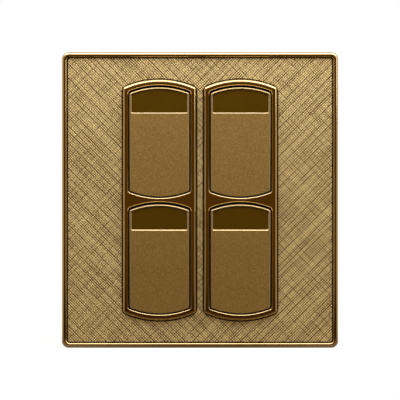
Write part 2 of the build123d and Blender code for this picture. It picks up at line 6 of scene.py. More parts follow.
import bmesh
import bpy
from bpy.props import FloatProperty, FloatVectorProperty, IntProperty, PointerProperty
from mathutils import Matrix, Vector


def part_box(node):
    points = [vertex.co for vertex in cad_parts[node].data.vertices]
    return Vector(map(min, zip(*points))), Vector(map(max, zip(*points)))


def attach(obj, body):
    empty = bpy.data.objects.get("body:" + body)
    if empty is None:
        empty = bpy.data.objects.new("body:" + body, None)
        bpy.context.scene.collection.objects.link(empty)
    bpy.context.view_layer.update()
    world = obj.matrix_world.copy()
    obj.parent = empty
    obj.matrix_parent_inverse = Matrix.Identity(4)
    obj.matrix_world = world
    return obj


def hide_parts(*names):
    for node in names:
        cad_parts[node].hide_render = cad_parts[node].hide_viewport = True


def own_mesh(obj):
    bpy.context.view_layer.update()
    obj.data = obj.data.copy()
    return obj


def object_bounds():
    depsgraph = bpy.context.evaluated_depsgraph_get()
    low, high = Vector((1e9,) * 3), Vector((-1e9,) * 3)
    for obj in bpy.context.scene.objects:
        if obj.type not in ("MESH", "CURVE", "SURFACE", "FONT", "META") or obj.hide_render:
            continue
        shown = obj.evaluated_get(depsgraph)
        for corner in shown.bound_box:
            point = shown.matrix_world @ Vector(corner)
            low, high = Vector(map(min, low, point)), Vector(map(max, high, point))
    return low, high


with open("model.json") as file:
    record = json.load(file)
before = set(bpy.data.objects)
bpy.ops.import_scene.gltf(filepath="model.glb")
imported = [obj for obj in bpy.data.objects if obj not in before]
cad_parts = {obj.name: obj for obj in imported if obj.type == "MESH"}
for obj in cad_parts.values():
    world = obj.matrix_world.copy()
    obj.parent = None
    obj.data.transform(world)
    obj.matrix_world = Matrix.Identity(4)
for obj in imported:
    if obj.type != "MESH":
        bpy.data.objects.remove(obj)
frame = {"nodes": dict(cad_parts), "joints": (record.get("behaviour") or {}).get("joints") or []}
cad_low, cad_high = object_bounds()

bl_info = {
    "name": "Four-gang light switch",
    "version": (1, 0, 0),
    "blender": (4, 5, 0),
    "location": "View3D > Sidebar > Switch",
    "description": "Builds the dressed light switch and its studio around the CAD frame",
    "category": "Object",
}

MM = 0.001
# Lengths below these count as nothing: along an edge or at a cut, and between points that meet
TINY = 0.00001 * MM
CLOSE = 0.001 * MM
GANGS = {"upper_left": (-1, 1), "upper_right": (1, 1), "lower_left": (-1, -1), "lower_right": (1, -1)}
TERMINALS = ("common_terminal", "line_one_terminal", "line_two_terminal")

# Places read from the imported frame
sheet_low, sheet_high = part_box("face_panel")
bezel_low, bezel_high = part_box("bezel_right")
clamp_low, clamp_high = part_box("terminal_screws")
fixing_low, fixing_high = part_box("housing_screws")
common_low, common_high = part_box("common_terminal_upper_right")
GANG_Z = (common_low.z + common_high.z) / 2
COLUMN_X = (bezel_low.x + bezel_high.x) / 2
JOINTS = {joint["name"]: joint for joint in frame["joints"]}
FACE_NORMAL = tuple(-part for part in JOINTS["plunger_slide_upper_left"]["axis"])

# Painted shade, dull and near-black, covers the frame and bezels up to this far past the sheet's edges and
# from this far behind its face
SHADE_MARGIN = 0.3 * MM

# Silver rivets on a contact: their distance from its middle and their radius
RIVET_REACH = 7.1 * MM
RIVET_RADIUS = 1.42 * MM

# Rounding of arched outlines: steps along a bowed end and around a corner
ARCH_STEPS = 16
CORNER_STEPS = 5

# Cutting shapes reach this far past what they cut, and the sheet's outline stands this far before its face
PAST = MM
PROUD = 0.02 * MM

# The sheet's grid before it is cut: thickness, spare rows, and what is kept inside a bezel's sides and ends
SLAB = 1.6 * MM
SPARE_ROWS = 8
KEPT_SIDE = MM
KEPT_END = 4.2 * MM

# Hatching in shares of its depth: strong lines, the range of faint lines and the crests that are touched
STRONG = 1.1
FAINT = (0.48, 0.85)
TOUCHED = 0.12
# Faint lines between two strong ones
FAINT_RUN = (1, 4)
# A line swells and fades over a length in millimetres, by a share of its strength
SWELL_MM = (9, 25)
SWELL = 0.16
# Each direction's share of the depth, how much one leads on its own half and how far out it leads fully
LINE_SHARE = 0.63
LINE_LEAD = 0.2
LEAD_REACH = 8 * MM
# Steps of depth that the lines are pressed in
DEPTH_STEPS = 12

# A thread's profile in shares of its depth and its pitch, and the share of the shank left at the blunt point
FLANKS = ((0, 0.1), (1, 0.35), (0, 0.1), (-1, 0.35), (0, 0.1))
POINT_SHARE = 0.68

# The floor's width, how far below the switch it lies, and the reach and strength of the switch's shadow on it
FLOOR_WIDTH = 3
FLOOR_DROP = 0.02 * MM
SHADOW_REACH = 0.2
SHADOW_SHARE = 0.12

# The room of screens, which only reflections show: its size in metres, its front wall and its drop
ROOM_WIDTH, ROOM_DEPTH, ROOM_HEIGHT = 1.4, 1.6, 0.9
ROOM_FRONT = -1.1
ROOM_DROP = 0.01 * MM

# Lamps: place from the plate's middle, then width and height of the lit face, in metres
LAMPS = {
    "key": ((0, -0.092, 0.205), (0.4, 0.125)),
    "fill": ((0, -0.22, 0.20), (0.5, 0.3)),
    "side": ((0.45, -0.24, 0.235), (0.12, 0.4)),
}
# Width of the camera's sensor in millimetres
SENSOR = 36


def size(name, description, default):
    """A length that a user may change."""
    return FloatProperty(
        name=name, description=description, default=default, min=0, unit="LENGTH", precision=5
    )


def amount(name, description, default, least=0):
    """A plain number that a user may change."""
    return FloatProperty(name=name, description=description, default=default, min=least)


def steps(name, description, default, least=8):
    """A whole number that a user may change."""
    return IntProperty(name=name, description=description, default=default, min=least)


def colour(name, description, default):
    """A surface colour that a user may change."""
    return FloatVectorProperty(
        name=name, description=description, default=default, size=3, min=0, max=1, subtype="COLOR"
    )


class SheetSettings(bpy.types.PropertyGroup):
    """Sizes of the hatched sheet and of the arched openings in it."""

    pitch: size("Hatch pitch", "Distance between neighbouring grooves", 0.62 * MM)
    depth: size("Hatch depth", "Depth of the strongest groove", 0.1 * MM)
    corner: size("Corner", "Rounding of the sheet's corners", 0.6 * MM)
    bevel: size("Edge bevel", "Bevel along the outer edge", 0.15 * MM)
    flange: size("Bezel flange", "Width of the hidden flange around a bezel", 0.8 * MM)
    gap: size("Bezel gap", "Clearance between the sheet and a bezel", 0.3 * MM)
    arch: size("Bezel arch", "Radius of a bezel's bowed ends", 27 * MM)
    opening_corner: size("Opening corner", "Rounding of an opening's corners", 1.3 * MM)


class FinishSettings(bpy.types.PropertyGroup):
    """Colours of the finishes."""

    plating: colour("Plating", "Polished gold of the frame and the bezels", (0.42, 0.29, 0.115))
    # Painted shade: near-black colour for the parts behind the sheet and the rockers' lower edges, standing
    # in for the shade there
    painted_shade_black: colour("Unplated", "Dull moulding where no plating shows", (0.020, 0.013, 0.007))
    sheet: colour("Sheet", "Champagne gold on the crests of the sheet", (0.695, 0.535, 0.25))
    # Painted shade: the near-black colour that the deepest grooves get
    groove: colour("Groove", "Tone in the grooves of the sheet", (0.10, 0.055, 0.010))
    paint: colour("Paint", "Metallic paint of the rockers", (0.335, 0.219, 0.063))
    flake: colour("Flake", "Bright flakes in the paint", (0.53, 0.352, 0.125))
    # Lighter edge colour: worn bright metal, and partly a painted highlight because only upper and side edges
    # get it
    rubbed_and_highlight: colour("Rubbed edge", "Bright edges of the rockers", (0.41, 0.31, 0.165))
    glass: colour("Window", "Tinted gloss of the windows", (0.070, 0.034, 0.002))
    moulding: colour("Moulding", "Pale plastic of the housing", (0.72, 0.71, 0.68))
    # Painted shade: the cradle is made near-black so the gaps around the rockers look shaded
    cradle: colour("Cradle", "Dark plastic of the rocker cradle", (0.045, 0.042, 0.038))
    carrier: colour("Carrier", "Plastic of the rocker carriers", (0.62, 0.60, 0.55))
    steel: colour("Steel", "Zinc plating of the yoke and the screws", (0.55, 0.55, 0.53))
    brass: colour("Brass", "Brass of the terminals and the plungers", (0.64, 0.47, 0.19))
    copper: colour("Copper", "Copper of the tilting contacts", (0.70, 0.42, 0.26))
    silver: colour("Silver", "Silver of the contact rivets", (0.78, 0.77, 0.74))


class ScrewSettings(bpy.types.PropertyGroup):
    """Sizes of the screws."""

    clamp_head: size("Clamp head radius", "Radius of a clamp screw's head", 2.2 * MM)
    clamp_height: size("Clamp head height", "Height of a clamp screw's head", 1.5 * MM)
    fixing_head: size("Housing screw head radius", "Radius of a housing screw's head", 2.3 * MM)
    fixing_height: size("Housing screw head height", "Height of a housing screw's head", 1.6 * MM)
    inner: size("Inner screws", "Distance of the inner housing screws from the middle", 10 * MM)
    shank: size("Thread radius", "Outer radius of the thread", 1.45 * MM)
    pitch: size("Thread pitch", "Advance of the thread in one turn", 0.5 * MM)
    thread_depth: size("Thread depth", "Depth of the thread", 0.24 * MM)
    point: size("Point", "Length of the blunt point", 0.35 * MM)
    slot: size("Slot width", "Width of the driver slot", 0.8 * MM)
    slot_depth: size("Slot depth", "Depth of the driver slot", 0.7 * MM)
    edge: size("Head edge", "Rounding of a head's outer edge", 0.3 * MM)
    turn_steps: steps("Turn steps", "Segments in one turn of the thread", 20)
    head_steps: steps("Head steps", "Segments around a head", 40)


class SpringSettings(bpy.types.PropertyGroup):
    """Sizes of the plunger springs."""

    wire: size("Wire radius", "Radius of the spring wire", 0.2 * MM)
    coil: size("Coil radius", "Radius of the coil along the middle of the wire", 1.15 * MM)
    start: size("Start", "Distance from the rocker's pivot to the first turn", 1.42 * MM)
    height: size("Coil height", "Advance of the coil from end to end", 3.56 * MM)
    turns: steps("Turns", "Turns of the coil", 4, least=1)
    turn_steps: steps("Turn steps", "Segments in one turn of the coil", 32)
    wire_steps: steps("Wire steps", "Segments around the wire", 12)


class StageSettings(bpy.types.PropertyGroup):
    """Camera, lamps and backdrop."""

    field: size("Field", "Width of the view at the plate", 124.46 * MM)
    lens: amount("Lens", "Focal length in millimetres", 200, least=10)
    rim_depth: size("Rim depth", "Distance from the wall to the plate's widest outline", 8.25 * MM)
    ambient: amount("Ambient", "Strength of the soft light from all round", 0.7)
    tint: colour("Tint", "Warm tint of the soft light", (1.0, 0.90, 0.74))
    dusk: colour("Dusk", "Warm tint of the screens", (1.0, 0.50, 0.04))
    floor: colour("Floor", "Plain pale colour of the floor", (0.90, 0.90, 0.90))
    key: amount("Key", "Power of the strip lamp above the plate in watts", 1.15)
    fill: amount("Fill", "Power of the broad lamp close before the plate in watts", 0.09)
    side: amount("Side", "Power of the lamp on the right in watts", 0.6)
    screen: amount("Screen", "Brightness of the warm screens around the plate", 0.148)


class Flow:
    """A shader value: arithmetic adds Math nodes, and node() adds any other node to the same tree."""

    def __init__(self, tree, socket=None):
        self.tree = tree
        self.socket = socket

    def node(self, kind, settings=None, inputs=None, output=0):
        made = self.tree.nodes.new(kind)
        for name, value in (settings or {}).items():
            setattr(made, name, value)
        for name, value in (inputs or {}).items():
            if isinstance(value, Flow):
                self.tree.links.new(value.socket, made.inputs[name])
            else:
                made.inputs[name].default_value = value
        return Flow(self.tree, made.outputs[output] if made.outputs else None)

    def maths(self, operation, first, second=0.0, clamp=False):
        settings = {"operation": operation, "use_clamp": clamp}
        return self.node("ShaderNodeMath", settings, {0: first, 1: second})

    def __add__(self, other):
        return self.maths("ADD", self, other)

    def __radd__(self, other):
        return self.maths("ADD", other, self)

    def __sub__(self, other):
        return self.maths("SUBTRACT", self, other)

    def __rsub__(self, other):
        return self.maths("SUBTRACT", other, self)

    def __mul__(self, other):
        return self.maths("MULTIPLY", self, other)

    def __rmul__(self, other):
        return self.maths("MULTIPLY", other, self)

    def __truediv__(self, other):
        return self.maths("DIVIDE", self, other)

    def __abs__(self):
        return self.maths("ABSOLUTE", self)

    def __lt__(self, other):
        return self.maths("LESS_THAN", self, other)

    def clamped(self):
        return self.maths("ADD", self, 0.0, clamp=True)

    def part(self, axis):
        return self.node("ShaderNodeSeparateXYZ", None, {0: self}, output=axis)


def start_finish(name):
    """An empty material, the start of its shader and the place on the piece in the switch's own frame."""
    material = bpy.data.materials.new(name)
    material.use_nodes = True
    material.node_tree.nodes.clear()
    shader = Flow(material.node_tree)
    return material, shader, shader.node("ShaderNodeTexCoord", output="Object")


def close_finish(material, shader, inputs):
    """Ends a finish with its surface, and returns the material."""
    skin = shader.node("ShaderNodeBsdfPrincipled", None, inputs)
    shader.node("ShaderNodeOutputMaterial", None, {"Surface": skin})
    return material


def grain(place, scale=1.0, detail=2.0, stretch=None, turn=0.0):
    """Noise with a fineness per metre, or one for each axis, turned in the plate's plane."""
    if stretch:
        place = place.node(
            "ShaderNodeMapping", None, {"Vector": place, "Rotation": (0, turn, 0), "Scale": stretch}
        )
    return place.node("ShaderNodeTexNoise", None, {"Vector": place, "Scale": scale, "Detail": detail})


def ramp(value, start, end):
    """0 before start and 1 past end, in a straight line between them."""
    return ((value - start) / (end - start)).clamped()


def blend(mask, first, second):
    """A colour between two others, each of them fixed or itself a shader value."""
    first, second = (shade if isinstance(shade, Flow) else (*shade, 1) for shade in (first, second))
    return mask.node("ShaderNodeMix", {"data_type": "RGBA"}, {0: mask, 6: first, 7: second}, output=2)


def toned(base, factor):
    """A colour made lighter or darker."""
    return tuple(min(1.0, part * factor) for part in base)


def uneven(mask, base, darkest, lightest):
    """A colour that varies between a darker and a lighter tone of itself."""
    return blend(mask, toned(base, darkest), toned(base, lightest))


def relief(height, strength, distance=0.02 * MM):
    """A surface normal from a height."""
    return height.node("ShaderNodeBump", None, {"Height": height, "Strength": strength, "Distance": distance})


def in_sight(shader):
    """1 for what the camera sees, directly or in a mirror or glass, and 0 for light on other things."""
    kinds = ("Camera", "Glossy", "Transmission")
    return sum(shader.node("ShaderNodeLightPath", output=f"Is {kind} Ray") for kind in kinds).clamped()


def polished_gold(finish):
    """Mirror-bright plating under lacquer with faint wiping marks; behind the sheet it is painted shade, dull
    and near-black.
    """
    material, shader, place = start_finish("polished_gold")
    cloud = grain(place, 90, detail=3)
    wipe = grain(place, stretch=(2600, 2600, 140), turn=0.5)
    across, depth, along = (abs(place.part(axis)) for axis in "XYZ")
    # Painted shade: what lies behind the sheet turns dull and near-black so the gaps around the sheet look
    # shaded
    inside = (across < sheet_high.x + SHADE_MARGIN) * (along < sheet_high.z + SHADE_MARGIN)
    hidden = inside * (depth < -sheet_low.y - SHADE_MARGIN)
    return close_finish(material, shader, {
        "Base Color": blend(hidden, uneven(cloud, finish.plating, 0.93, 1.06), finish.painted_shade_black),
        "Metallic": 1 - hidden,
        "Roughness": 0.06 + 0.05 * cloud + 0.03 * wipe + 0.5 * hidden,
        "Coat Weight": 1 - hidden,
        "Coat Roughness": 0.04,
        "Coat IOR": 1.6,
        "Normal": relief(cloud, 0.05),
    })


def hatched_gold(finish, sheet):
    """Pressed sheet metal: bright crests, painted shade darkening the grooves and fine drawing marks both
    ways.
    """
    material, shader, place = start_finish("hatched_gold")
    depth = ramp(place.part("Y"), sheet_low.y, sheet_low.y + sheet.depth)
    turns = (math.radians(45), math.radians(-45))
    marks = 0.5 * sum(grain(place, stretch=(5200, 300, 160), turn=turn) for turn in turns)
    cloud = grain(place, 120)
    # Painted shade: the deeper a point lies in a groove, the darker its colour, down to near-black
    tone = (1.65 * (depth - 0.14) + 0.3 * (marks - 0.5) + 0.08 * (cloud - 0.5)).clamped()
    return close_finish(material, shader, {
        "Base Color": blend(tone, finish.sheet, finish.groove),
        "Metallic": 0.5,
        "Roughness": 0.34 + 0.12 * marks,
        "Coat Weight": 0.4,
        "Coat Roughness": 0.3,
        "Normal": relief(marks, 0.35),
    })


def satin_paint(finish):
    """Metallic paint with fine bright flakes; upper and side edges worn bright and partly a painted
    highlight, lower edges a near-black painted shade.
    """
    material, shader, place = start_finish("satin_paint")
    flakes = place.node("ShaderNodeTexVoronoi", None, {"Vector": place, "Scale": 3000}, output="Color")
    glint = place.node("ShaderNodeSeparateColor", None, {0: flakes})
    bright = ((glint - 0.72) * 1.6).clamped()
    fine = grain(place, 2600)
    cloud = grain(place, 70)
    tone = (bright + 2.2 * (fine - 0.42) + 0.12 * cloud).clamped()
    facing = shader.node("ShaderNodeTexCoord", output="Normal")
    front = facing.node(
        "ShaderNodeVectorMath", {"operation": "DOT_PRODUCT"}, {0: facing, 1: FACE_NORMAL}, output="Value"
    )
    upward = facing.part("Z")
    rounded = ((0.98 - front) * 12.0).clamped()
    # Edges facing up or sideways turn lighter and glossier: worn metal, partly a painted highlight since
    # lower edges get none
    edge = rounded * (1.4 + 6.0 * upward).clamped()
    # Painted shade: edges facing down are near-black and not metallic, standing in for the shade under each
    # rocker
    under = rounded * (-1.4 - 6.0 * upward).clamped()
    paint = blend(edge, blend(tone, finish.paint, finish.flake), finish.rubbed_and_highlight)
    return close_finish(material, shader, {
        "Base Color": blend(under, paint, finish.painted_shade_black),
        "Metallic": 0.92 + 0.06 * edge - 0.9 * under,
        "Roughness": 0.50 + 0.12 * fine - 0.20 * edge,
        "Normal": relief(fine, 0.45),
    })


def tinted_gloss(finish):
    """Glossy tinted insert with the faintest waviness."""
    material, shader, place = start_finish("tinted_gloss")
    wave = grain(place, 260)
    return close_finish(material, shader, {
        "Base Color": uneven(wave, finish.glass, 0.9, 1.12),
        "Metallic": 0.25,
        "Specular IOR Level": 0.15,
        "Roughness": 0.07 + 0.05 * wave,
        "Normal": relief(wave, 0.05),
    })


def moulded_plastic(name, base):
    """Plastic with a spark-eroded texture and faint flow marks."""
    material, shader, place = start_finish(name)
    pits = grain(place, 2600, detail=3)
    streak = grain(place, stretch=(420, 420, 60))
    return close_finish(material, shader, {
        "Base Color": uneven(0.6 * streak + 0.4 * pits, base, 0.90, 1.04),
        "Roughness": 0.48 + 0.16 * pits,
        "Normal": relief(pits, 0.22, 0.03 * MM),
    })


def drawn_metal(name, base, stretch, rough):
    """Worked metal with tool marks along one direction and a slightly uneven tone."""
    material, shader, place = start_finish(name)
    marks = grain(place, detail=3, stretch=stretch)
    cloud = grain(place, 160)
    return close_finish(material, shader, {
        "Base Color": uneven(0.6 * marks + 0.4 * cloud, base, 0.78, 1.12),
        "Metallic": 1.0,
        "Roughness": rough + 0.18 * marks,
        "Normal": relief(marks, 0.2),
    })


def contact_metal(finish):
    """Copper strip whose two rivets are silver."""
    material, shader, place = start_finish("contact_metal")
    marks = grain(place, detail=3, stretch=(5000, 2000, 200))
    side = abs(place.part("X")) - COLUMN_X
    end = abs(abs(place.part("Z")) - GANG_Z) - RIVET_REACH
    rivet = (side * side + end * end) < RIVET_RADIUS**2
    return close_finish(material, shader, {
        "Base Color": blend(rivet, uneven(marks, finish.copper, 0.8, 1.1), finish.silver),
        "Metallic": 1.0,
        "Roughness": 0.24 + 0.2 * marks,
        "Normal": relief(marks, 0.15),
    })


def coat_nodes(material, names):
    """Gives CAD nodes their finish."""
    for name in names:
        for slot in frame["nodes"][name].material_slots:
            slot.material = material


def gang_nodes(*pieces):
    """The nodes of the given pieces in all four gangs."""
    return [f"{piece}_{gang}" for piece in pieces for gang in GANGS]


def only(obj):
    """Makes one object the sole selected and active one."""
    bpy.ops.object.select_all(action="DESELECT")
    obj.select_set(True)
    bpy.context.view_layer.objects.active = obj


def added(name, operator, **settings):
    """The object that an operator adds."""
    bpy.ops.object.select_all(action="DESELECT")
    operator(**settings)
    obj = bpy.context.object
    obj.name = name
    return obj


def copied(first, name):
    """A copy of an object, with a mesh of its own."""
    only(first)
    bpy.ops.object.duplicate()
    obj = bpy.context.object
    obj.name = name
    return obj


def settle(obj):
    """Moves an object's place, turn and scale into its mesh."""
    only(obj)
    bpy.ops.object.transform_apply(location=True, rotation=True, scale=True)


def pick(obj, kind, test):
    """In edit mode, selects the vertices, edges or faces that pass a test and nothing else."""
    bpy.ops.mesh.select_mode(type=kind)
    bpy.ops.mesh.select_all(action="DESELECT")
    shape = bmesh.from_edit_mesh(obj.data)
    elements = {"VERT": shape.verts, "EDGE": shape.edges, "FACE": shape.faces}[kind]
    for element in elements:
        if test(element):
            element.select_set(True)
    shape.select_flush_mode()
    bmesh.update_edit_mesh(obj.data)


def lies_at(edge, y):
    """Whether an edge lies wholly at one depth."""
    return all(abs(v.co.y - y) < CLOSE for v in edge.verts)


def turn_outwards():
    """In edit mode, turns all faces outwards."""
    bpy.ops.mesh.select_all(action="SELECT")
    bpy.ops.mesh.normals_make_consistent(inside=False)


def apply_modifier(obj, name, kind, **settings):
    """Adds a modifier, sets it and applies it."""
    only(obj)
    modifier = obj.modifiers.new(name, kind)
    for key, value in settings.items():
        setattr(modifier, key, value)
    bpy.ops.object.modifier_apply(modifier=name)


def cut(obj, tool, operation):
    """Combines an object with a tool shape, which is then removed."""
    apply_modifier(obj, "cut", "BOOLEAN", operation=operation, object=tool, solver="EXACT")
    bpy.data.objects.remove(tool, do_unlink=True)


def wind(obj, pitch, turns, turn_steps):
    """Winds a profile around Y, and leaves it in edit mode with its turns joined."""
    apply_modifier(
        obj, "turns", "SCREW", axis="Y", angle=2 * math.pi, screw_offset=pitch, iterations=turns,
        steps=turn_steps, render_steps=turn_steps,
    )
    bpy.ops.object.mode_set(mode="EDIT")
    bpy.ops.mesh.select_all(action="SELECT")
    bpy.ops.mesh.remove_doubles(threshold=CLOSE)


def arched_block(name, width, height, arch, corner, front, back, x):
    """Upright block at mid-height with straight sides, bowed ends and rounded corners."""
    shoulder = height / 2 - arch + math.sqrt(arch**2 - (width / 2) ** 2)
    sweep = 2 * math.asin(width / 2 / arch)
    block = added(
        name, bpy.ops.mesh.primitive_plane_add, size=1, location=(x, front, 0), rotation=(math.pi / 2, 0, 0)
    )
    block.scale = (width, 2 * shoulder, 1)
    settle(block)
    bpy.ops.object.mode_set(mode="EDIT")
    pick(block, "EDGE", lambda e: abs(e.verts[0].co.z - e.verts[1].co.z) < TINY)
    bpy.ops.mesh.delete(type="EDGE")

    def at_corner(v, side, end):
        return abs(v.co.x - x - side * width / 2) < CLOSE and abs(v.co.z - end * shoulder) < CLOSE

    for end in (1, -1):
        pick(block, "VERT", lambda v: at_corner(v, -end, end))
        bpy.ops.mesh.spin(
            steps=ARCH_STEPS, angle=-sweep, center=(x, front, end * (height / 2 - arch)), axis=(0, 1, 0)
        )
    bpy.ops.mesh.select_all(action="SELECT")
    bpy.ops.mesh.remove_doubles(threshold=CLOSE)
    bpy.ops.mesh.edge_face_add()
    pick(block, "VERT", lambda v: any(at_corner(v, side, end) for side in (-1, 1) for end in (-1, 1)))
    bpy.ops.mesh.bevel(offset=corner, segments=CORNER_STEPS, affect="VERTICES")
    bpy.ops.mesh.select_all(action="SELECT")
    bpy.ops.mesh.extrude_region_move(TRANSFORM_OT_translate={"value": (0, back - front, 0)})
    turn_outwards()
    bpy.ops.object.mode_set(mode="OBJECT")
    return block


class SWITCH_OT_sheet(bpy.types.Operator):
    """Model the hatched sheet: a fine grid pressed with two crossing sets of lines and cut to its outline"""

    bl_idname = "switch.sheet"
    bl_label = "Hatched sheet"

    def outline(self, sheet):
        """The sheet's solid outline with its bevelled edge and two arched openings."""
        front, back = sheet_low.y - PROUD, sheet_high.y
        block = added(
            "sheet_outline", bpy.ops.mesh.primitive_cube_add, size=1, location=(0, (front + back) / 2, 0)
        )
        block.scale = (sheet_high.x - sheet_low.x, back - front, sheet_high.z - sheet_low.z)
        settle(block)
        bpy.ops.object.mode_set(mode="EDIT")
        pick(block, "EDGE", lambda e: abs(e.verts[0].co.y - e.verts[1].co.y) > TINY)
        bpy.ops.mesh.bevel(offset=sheet.corner, segments=CORNER_STEPS, affect="EDGES")
        pick(block, "EDGE", lambda e: lies_at(e, front))
        bpy.ops.mesh.bevel(offset=sheet.bevel, segments=2, affect="EDGES")
        bpy.ops.object.mode_set(mode="OBJECT")
        width = bezel_high.x - bezel_low.x - 2 * (sheet.flange - sheet.gap)
        height = bezel_high.z - bezel_low.z - 2 * (sheet.flange - sheet.gap)
        arch = sheet.arch + sheet.gap
        grow = 2 * sheet.bevel
        for x in (-COLUMN_X, COLUMN_X):
            opening = arched_block(
                "opening", width, height, arch, sheet.opening_corner, front - PAST, back + PAST, x
            )
            cut(block, opening, "DIFFERENCE")
            flare = arched_block(
                "flare", width + grow, height + grow, arch + sheet.bevel, sheet.opening_corner + sheet.bevel,
                front - PAST, sheet_low.y, x,
            )
            bpy.ops.object.mode_set(mode="EDIT")
            pick(flare, "FACE", lambda f: f.normal.y > 0.9)
            bpy.ops.mesh.extrude_region_move(TRANSFORM_OT_translate={"value": (0, sheet.bevel, 0)})
            bpy.ops.transform.resize(
                value=(width / (width + grow), 1, height / (height + grow)),
                center_override=(x, sheet_low.y + sheet.bevel, 0),
            )
            bpy.ops.object.mode_set(mode="OBJECT")
            cut(block, flare, "DIFFERENCE")
        return block

    def lines(self, draw, count):
        """Strength, wave length and phase of a direction's lines: grooves on odd rows, crests on even."""
        rows = {}
        wait = 0
        for row in range(-count, count + 1):
            if row % 2:
                wait = wait - 1 if wait else draw.randint(*FAINT_RUN)
                weight = draw.uniform(*FAINT) if wait else STRONG
            else:
                weight = 0.0 if draw.random() < 0.5 else TOUCHED
            rows[row] = (weight, draw.uniform(*SWELL_MM) * MM, draw.uniform(0, 2 * math.pi))
        return rows

    def press(self, slab, sheet, half, count):
        """Presses the lines in, the falling ones more on the left half and the rising ones on the right."""
        draw = random.Random(86)
        falling_lines = self.lines(draw, count)
        rising_lines = self.lines(draw, count)

        def strength(line, along):
            weight, wave, phase = line
            return weight * (1 - SWELL + SWELL * math.sin(2 * math.pi * along / wave + phase))

        shape = bmesh.from_edit_mesh(slab.data)
        groups = {}
        for vertex in shape.verts:
            falling = (vertex.co.x + vertex.co.z) / math.sqrt(2)
            rising = (vertex.co.x - vertex.co.z) / math.sqrt(2)
            lead = LINE_LEAD * max(-1.0, min(1.0, vertex.co.x / LEAD_REACH))
            press = (LINE_SHARE - lead) * strength(falling_lines[round(falling / half)], rising)
            press += (LINE_SHARE + lead) * strength(rising_lines[round(rising / half)], falling)
            groups.setdefault(round(min(1.0, press) * DEPTH_STEPS), set()).add(vertex.index)
        for level, members in sorted(groups.items()):
            if level:
                pick(slab, "VERT", lambda v: v.index in members)
                bpy.ops.transform.translate(value=(0, sheet.depth * level / DEPTH_STEPS, 0))

    def execute(self, context):
        sheet = context.scene.switch_sheet
        half = sheet.pitch / 2
        reach = sheet_high.x - sheet_low.x + sheet_high.z - sheet_low.z
        cells = 2 * int(reach / math.sqrt(2) / sheet.pitch) + SPARE_ROWS
        slab = added(
            "hatched_sheet", bpy.ops.mesh.primitive_grid_add,
            x_subdivisions=cells, y_subdivisions=cells, size=cells * half,
            location=(0, sheet_low.y, 0), rotation=(math.pi / 2, math.radians(45), 0),
        )
        settle(slab)
        bpy.ops.object.mode_set(mode="EDIT")
        inner_x = (bezel_high.x - bezel_low.x) / 2 - KEPT_SIDE - 2 * half
        inner_z = bezel_high.z - KEPT_END

        def waste(v):
            outside = abs(v.co.x) > sheet_high.x + 2 * half or abs(v.co.z) > sheet_high.z + 2 * half
            return outside or (abs(abs(v.co.x) - COLUMN_X) < inner_x and abs(v.co.z) < inner_z)

        pick(slab, "VERT", waste)
        bpy.ops.mesh.delete(type="VERT")
        self.press(slab, sheet, half, cells)
        bpy.ops.mesh.select_all(action="SELECT")
        bpy.ops.mesh.extrude_region_move(TRANSFORM_OT_translate={"value": (0, SLAB, 0)})
        turn_outwards()
        bpy.ops.object.mode_set(mode="OBJECT")
        cut(slab, self.outline(sheet), "INTERSECT")
        slab.data.materials.clear()
        slab.data.materials.append(hatched_gold(context.scene.switch_finish, sheet))
        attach(slab, "base")
        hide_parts("face_panel")
        return {"FINISHED"}


class SWITCH_OT_plating(bpy.types.Operator):
    """Finish the frame and the two bezels in polished gold"""

    bl_idname = "switch.plating"
    bl_label = "Polished plating"

    def execute(self, context):
        coat_nodes(polished_gold(context.scene.switch_finish), ("cover_frame", "bezel_left", "bezel_right"))
        return {"FINISHED"}


class SWITCH_OT_rockers(bpy.types.Operator):
    """Finish the rockers in satin metallic paint and their windows in tinted gloss"""

    bl_idname = "switch.rockers"
    bl_label = "Rockers and windows"

    def execute(self, context):
        finish = context.scene.switch_finish
        coat_nodes(satin_paint(finish), gang_nodes("rocker"))
        coat_nodes(tinted_gloss(finish), gang_nodes("window"))
        return {"FINISHED"}


class SWITCH_OT_mouldings(bpy.types.Operator):
    """Finish the cradle, the housing and the carriers as moulded plastic"""

    bl_idname = "switch.mouldings"
    bl_label = "Plastic mouldings"

    def execute(self, context):
        finish = context.scene.switch_finish
        coat_nodes(moulded_plastic("pale_plastic", finish.moulding), ("rear_housing",))
        # Painted shade: near-black cradle, standing in for the shade in the gaps around the rockers
        coat_nodes(moulded_plastic("dark_plastic", finish.cradle), ("rocker_cradle",))
        coat_nodes(moulded_plastic("carrier_plastic", finish.carrier), gang_nodes("carrier"))
        return {"FINISHED"}


class SWITCH_OT_metalwork(bpy.types.Operator):
    """Finish the yoke, plungers, contacts and terminals as worked metal"""

    bl_idname = "switch.metalwork"
    bl_label = "Metalwork"

    def execute(self, context):
        finish = context.scene.switch_finish
        zinc = drawn_metal("zinc_sheet", finish.steel, stretch=(2600, 2600, 110), rough=0.30)
        turned = drawn_metal("turned_brass", finish.brass, stretch=(300, 9000, 300), rough=0.20)
        machined = drawn_metal("machined_brass", finish.brass, stretch=(200, 4200, 4200), rough=0.24)
        coat_nodes(zinc, ("mounting_yoke",))
        coat_nodes(turned, gang_nodes("plunger"))
        coat_nodes(machined, gang_nodes(*TERMINALS))
        coat_nodes(contact_metal(finish), gang_nodes("contact"))
        return {"FINISHED"}


